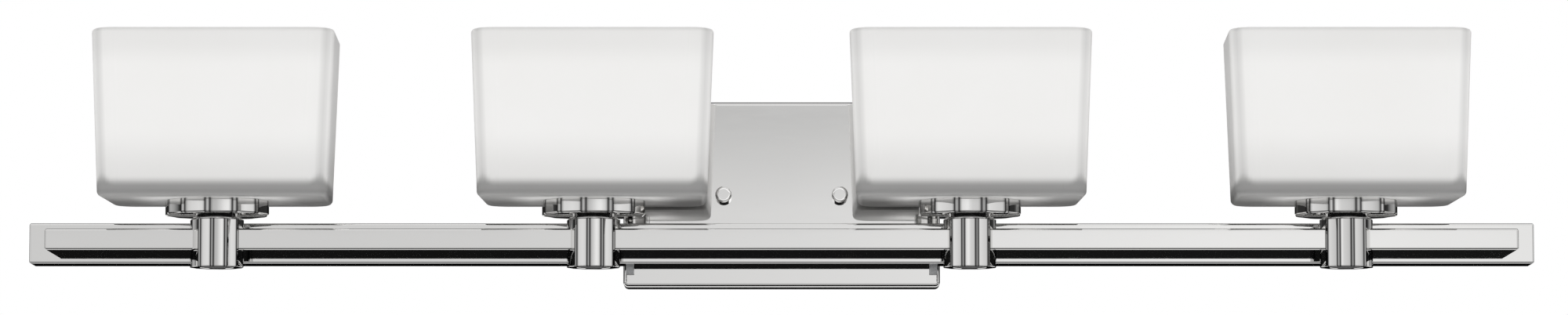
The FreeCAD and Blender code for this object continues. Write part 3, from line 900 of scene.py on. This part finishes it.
def outside_look(p, cx, z0, tall):
    """Whitest where the open cup lies behind the glass, greyer where it is solid, greyest at the base;
    partly the glass's own look, partly painted light and shade, with a painted glow at the bottom edge.
    """
    rise = p.z - z0
    up = rise - GLASS["floor"] - CAVITY["lift"]
    # Painted shade low down, towards the top and at the rim.
    light = 1.0 - PAINTED_SHADE_LOW * (1.0 - climb(rise, 10.0 * MM, 30.0 * MM))
    light -= PAINTED_SHADE_HIGH * climb(rise, 75.0 * MM, 16.0 * MM)
    light -= PAINTED_SHADE_RIM * climb(rise, tall - 3.0 * MM, 2.0 * MM)
    solid = blend(TONE_BASE, TONE_SIDE, climb(up, -2.0 * MM, 9.0 * MM))
    # Painted shade at the bottom edge.
    plain = blend(PAINTED_SHADE_EDGE, solid, climb(rise, 1.0 * MM, 4.0 * MM))
    tone_and_painted_light = light * blend(plain, TONE_PANEL, cup_behind(p, cx, rise / tall, up))
    # Painted glow at the bottom edge.
    painted_glow = PAINTED_GLOW_EDGE * (1.0 - climb(rise, 0.0, 2.2 * MM))
    return tone_and_painted_light, painted_glow


# ---------------------------------------------------------------- lamps
def bulb(n):
    node = "bulb_%d" % n
    low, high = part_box(node)
    z0, z1 = low[2], high[2]
    radius = 0.5 * (high[0] - low[0])
    crown = z1 - radius
    foot, edge = CAPSULE["foot"], CAPSULE["foot_edge"]
    profile = [(POLE, z0), (CAPSULE["foot_flat"], z0), (foot, z0 + edge)]
    steps = 8
    for k in range(1, steps + 1):
        t = k / steps
        profile.append((blend(foot, radius, smooth(t)), z0 + edge + CAPSULE["shoulder"] * t))
    profile += [(radius, z0 + CAPSULE_STRAIGHT), (radius, crown)]
    profile += [(radius * math.cos(t), crown + radius * math.sin(t)) for t in quarter(10)[1:-1]]
    profile.append((POLE, z1))
    verts, faces = lathe(LAMP_X[n], LAMP_Y, profile, CAPSULE_COUNT, False)
    cap_ends(faces, len(verts), CAPSULE_COUNT)
    piece = finish_mesh("glass_capsule_%d" % n, verts, faces, BULB_GLASS, 60.0, False)
    return settle(piece, "lamp_bulb_%d" % n, [node])


def tube(points, radius, count=8):
    """A closed round tube along points."""
    loops = []
    up = Vector((0.0, 1.0, 0.0))
    for i, p in enumerate(points):
        ahead = points[min(i + 1, len(points) - 1)] - points[max(i - 1, 0)]
        ahead.normalize()
        side = ahead.cross(up)
        if side.length < 1e-3:
            side = ahead.cross(Vector((1.0, 0.0, 0.0)))
        side.normalize()
        other = side.cross(ahead).normalized()
        ring = []
        for k in range(count):
            a = 2 * math.pi * k / count
            ring.append(p + side * (radius * math.cos(a)) + other * (radius * math.sin(a)))
        loops.append(ring)
    verts, faces = loops_to_mesh(loops, False)
    faces.append(tuple(range(count - 1, -1, -1)))
    faces.append(tuple(range(len(verts) - count, len(verts))))
    return verts, faces


def coil_points(cx, z):
    points = []
    for k in range(COIL["steps"] + 1):
        t = k / COIL["steps"]
        a = 2.0 * math.pi * COIL["turns"] * t
        x = cx - COIL["half"] + 2.0 * COIL["half"] * t
        points.append(Vector((x, LAMP_Y + COIL["radius"] * math.cos(a), z + COIL["radius"] * math.sin(a))))
    return points


def filament(n):
    """The coil and the two wires that hold it. It has no CAD node."""
    low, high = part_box("bulb_%d" % n)
    cx = LAMP_X[n]
    wires = []
    for side in (-1, 1):
        leg = [Vector((cx + side * out, LAMP_Y, low[2] + rise)) for out, rise in LEG]
        wires.append((leg, LEG_WIRE))
    wires.append((coil_points(cx, low[2] + LEG[-1][1]), COIL["wire"]))
    verts, faces = [], []
    for points, radius in wires:
        more, quads = tube(points, radius)
        base = len(verts)
        verts.extend(more)
        faces.extend([tuple(base + i for i in face) for face in quads])
    piece = finish_mesh("filament_%d" % n, verts, faces, TUNGSTEN, 60.0, False)
    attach(piece, "lamp_bulb_%d" % n)


for lamp in LAMPS:
    shade(lamp)
    collar(lamp)
    neck(lamp)
    stem(lamp)
    bulb(lamp)
    filament(lamp)
front_rail()
rear_bar()
backplate()
cap_nut("left")
cap_nut("right")

# ---------------------------------------------------------------- carried-over CAD pieces
slots = {row["node"]: row["material_slot"] for row in frame["record"]["subparts"]}
for name, node in frame["nodes"].items():
    material = SLOT_MATERIAL[slots[name]]
    if not node.data.materials:
        node.data.materials.append(material)
    for index in range(len(node.data.materials)):
        node.data.materials[index] = material


# ---------------------------------------------------------------- studio
bpy.context.scene.view_settings.view_transform = "Standard"

# Brightness of the reflected studio by angle: over the top and under the object in the plane
# that runs from front to back, and round the object at eye level. 0 degrees is the front.
OVER_AND_UNDER = (
    (-180, 0.02), (-168, 0.02), (-160, 0.8), (-104, 0.9), (-98, 0.02), (-44, 0.02), (-38, 0.6),
    (-12, 0.6), (-6, 0.1), (6, 0.95), (24, 0.9), (27, 0.05), (34, 0.05), (38, 0.95), (80, 1.0),
    (85, 0.03), (134, 0.03), (140, 0.8), (170, 0.7), (180, 0.5),
)
ROUND_ABOUT = (
    (-180, 0.02), (-118, 0.03), (-104, 0.34), (-90, 0.50), (-75, 0.62), (-52, 0.78), (-40, 0.72),
    (-28, 0.45), (-14, 0.62), (-3, 0.68), (0, 0.76), (4, 0.90), (9, 0.84), (20, 0.55), (34, 0.42),
    (50, 0.66), (75, 0.80), (92, 0.5), (106, 0.30), (118, 0.03), (180, 0.02),
)
# The same at eye level by height, as a unit vector's Z: bright from the horizon up, dark just below it.
HORIZON_REACH = 0.2
NEAR_HORIZON = (
    (-0.20, 0.01), (-0.03, 0.01), (-0.01, 1.35), (0.045, 1.35), (0.058, 1.0), (0.078, 1.0),
    (0.094, 0.76), (0.108, 0.9), (0.125, 1.35), (0.20, 1.35),
)
# Between these heights the eye-level studio gives way to the one over the top and under.
EYE_LEVEL_END = (0.13, 0.19)
# The soft light on the matt surfaces by height: a bright sheet below, an open room above.
SOFT_LIGHT = ((-1.0, 1.0), (-0.55, 1.0), (-0.3, 0.37), (0.7, 0.44), (1.0, 0.44))
SOFT_STRENGTH = 2.1
WHITE = (1.0, 1.0, 1.0)

# Name, place, size and power of each softbox.
SOFTBOXES = (
    ("front_softbox", (0.0, -3.2, 1.6), (3.6, 1.6), 12.0),
    ("left_softbox", (-2.6, -1.6, 0.9), (1.6, 1.8), 7.0),
    ("right_softbox", (2.6, -1.6, 0.9), (1.6, 1.8), 7.0),
)
FLOOR_HALF = 4.0
FLOOR_HEIGHT = -0.9

CAMERA_PLACE = (0.0014, -3.7065, -0.2985)
CAMERA_TILT = 94.99
CAMERA_LENS = 141.0
CAMERA_SENSOR = 36.0


def fill_ramp(tree, value, stops, low, high):
    node = add(tree, "ShaderNodeValToRGB")
    ramp = node.color_ramp
    spots = [((at - low) / (high - low), level) for at, level in stops]
    ramp.elements[0].position = spots[0][0]
    ramp.elements[0].color = (spots[0][1],) * 3 + (1.0,)
    ramp.elements[1].position = spots[-1][0]
    ramp.elements[1].color = (spots[-1][1],) * 3 + (1.0,)
    for position, level in spots[1:-1]:
        element = ramp.elements.new(position)
        element.color = (level, level, level, 1.0)
    tree.links.new(remap(tree, value, low, high, 0.0, 1.0), node.inputs["Fac"])
    return node.outputs["Color"]


def calculate(tree, operation, a, b=None):
    node = add(tree, "ShaderNodeMath", operation=operation)
    for socket, value in zip(node.inputs, (a, b)):
        if isinstance(value, (int, float)):
            socket.default_value = value
        elif value is not None:
            tree.links.new(value, socket)
    return node.outputs["Value"]


def angle_in_degrees(tree, rise, along):
    turn = calculate(tree, "ARCTAN2", rise, along)
    return calculate(tree, "MULTIPLY", turn, 180.0 / math.pi)


def reflected_studio(tree, x, y, z):
    """What the polished metal reflects, by direction."""
    front = calculate(tree, "MULTIPLY", y, -1.0)
    over = angle_in_degrees(tree, z, front)
    about = angle_in_degrees(tree, x, front)
    over_and_under = fill_ramp(tree, over, OVER_AND_UNDER, -180.0, 180.0)
    round_about = fill_ramp(tree, about, ROUND_ABOUT, -180.0, 180.0)
    near_horizon = fill_ramp(tree, z, NEAR_HORIZON, -HORIZON_REACH, HORIZON_REACH)
    eye_level = add(tree, "ShaderNodeMix", data_type="RGBA", blend_type="MULTIPLY")
    eye_level.inputs[0].default_value = 1.0
    tree.links.new(round_about, eye_level.inputs[6])
    tree.links.new(near_horizon, eye_level.inputs[7])
    away = remap(tree, calculate(tree, "ABSOLUTE", z), *EYE_LEVEL_END, 0.0, 1.0)
    return mix_colour(tree, away, eye_level.outputs[2], over_and_under)


def soft_room(tree, z):
    """The light that matt surfaces receive."""
    lit = fill_ramp(tree, z, SOFT_LIGHT, -1.0, 1.0)
    strong = add(tree, "ShaderNodeVectorMath", operation="SCALE")
    tree.links.new(lit, strong.inputs[0])
    strong.inputs["Scale"].default_value = SOFT_STRENGTH
    return strong.outputs["Vector"]


def world_light():
    world = bpy.data.worlds.new("studio")
    bpy.context.scene.world = world
    world.use_nodes = True
    tree = world.node_tree
    for node in list(tree.nodes):
        tree.nodes.remove(node)
    coords = add(tree, "ShaderNodeTexCoord")
    parts = add(tree, "ShaderNodeSeparateXYZ")
    tree.links.new(coords.outputs["Generated"], parts.inputs["Vector"])
    x, y, z = parts.outputs["X"], parts.outputs["Y"], parts.outputs["Z"]
    mirrored = reflected_studio(tree, x, y, z)
    path = add(tree, "ShaderNodeLightPath")
    bounced = mix_colour(tree, path.outputs["Is Glossy Ray"], soft_room(tree, z), mirrored)
    final = mix_colour(tree, path.outputs["Is Camera Ray"], bounced, WHITE)
    back = add(tree, "ShaderNodeBackground")
    tree.links.new(final, back.inputs["Color"])
    out = add(tree, "ShaderNodeOutputWorld")
    tree.links.new(back.outputs["Background"], out.inputs["Surface"])


def area_light(name, place, size, power):
    data = bpy.data.lights.new(name, "AREA")
    data.shape = "RECTANGLE"
    data.size, data.size_y = size
    data.energy = power
    lamp = place_object(name, data)
    lamp.location = place
    lamp.rotation_euler = (-Vector(place)).to_track_quat("-Z", "Y").to_euler()
    lamp.visible_glossy = False


def floor():
    mat, tree, shader = new_material("pale_floor")
    speck = noise(tree, 40.0, 4.0)
    fac = remap(tree, speck, 0.3, 0.7, 0.0, 1.0)
    paper = mix_colour(tree, fac, (0.9, 0.9, 0.9), (0.87, 0.87, 0.87))
    tree.links.new(paper, shader.inputs["Base Color"])
    shader.inputs["Roughness"].default_value = 0.9
    mesh = bpy.data.meshes.new("floor")
    corners = []
    for x, y in ((-1, -1), (1, -1), (1, 1), (-1, 1)):
        corners.append((x * FLOOR_HALF, y * FLOOR_HALF, FLOOR_HEIGHT))
    mesh.from_pydata(corners, [], [(0, 1, 2, 3)])
    mesh.materials.append(mat)
    piece = place_object("floor", mesh)
    piece.visible_glossy = False
    piece.visible_diffuse = False


def camera():
    data = bpy.data.cameras.new("camera")
    data.sensor_width = CAMERA_SENSOR
    data.lens = CAMERA_LENS
    eye = place_object("camera", data)
    eye.location = CAMERA_PLACE
    eye.rotation_euler = (math.radians(CAMERA_TILT), 0.0, 0.0)
    bpy.context.scene.camera = eye


world_light()
floor()
for softbox in SOFTBOXES:
    area_light(*softbox)
camera()
